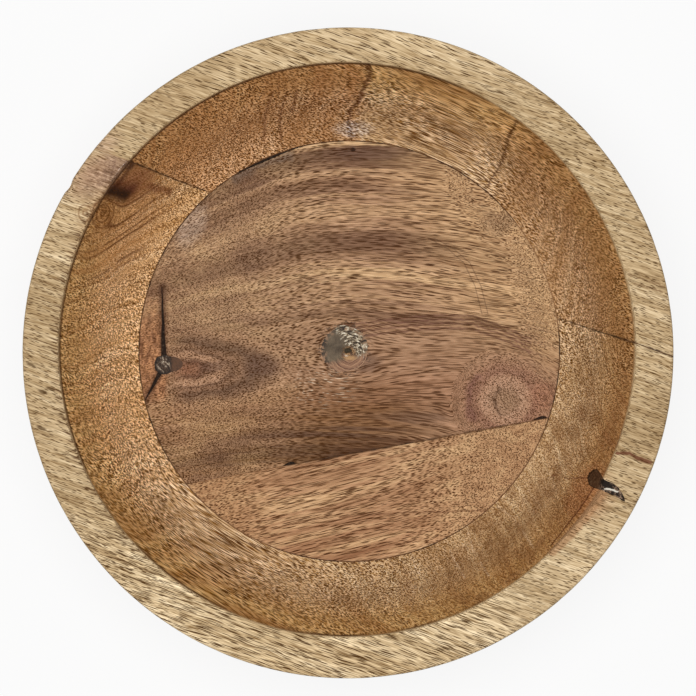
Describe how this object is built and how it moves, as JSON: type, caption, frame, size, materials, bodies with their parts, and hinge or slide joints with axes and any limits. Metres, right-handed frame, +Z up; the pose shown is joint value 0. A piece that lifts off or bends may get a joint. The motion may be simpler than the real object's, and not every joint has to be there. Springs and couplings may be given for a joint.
{
  "type": "dough bowl",
  "caption": "Round turned wooden bowl with a wide flat rim, a coved wall and a flat glued-up floor, for mixing, proving or serving.",
  "frame": {"origin": "centre of the flat underside", "axes": "+Z up along the turning axis, +X to the right and +Y to the top of the picture, which looks down"},
  "size_m": [0.305, 0.305, 0.076],
  "materials": {
    "ring_wood": "sanded sapwood, oiled",
    "dark_floor_wood": "sanded heartwood, oiled",
    "light_floor_wood": "sanded, oiled",
    "glue": "dark glue line",
    "knot_wood": "knot wood",
    "grey_filler": "wood filler",
    "black_filler": "black resin filler"
  },
  "bodies": {
    "root": {"ring_board_lower": "ring_wood", "ring_board_upper": "ring_wood", "floor_board_dark": "dark_floor_wood", "floor_board_light": "light_floor_wood", "ring_seam_glue": "glue", "floor_seam_glue": "glue", "ring_to_floor_glue": "glue", "centre_knot": "knot_wood", "centre_knot_filler": "grey_filler", "left_knot": "knot_wood", "left_crack_filler": "black_filler", "rim_knot_filler": "black_filler", "seam_gap_filler": "black_filler", "edge_gap_filler": "black_filler"}
  },
  "joints": []
}
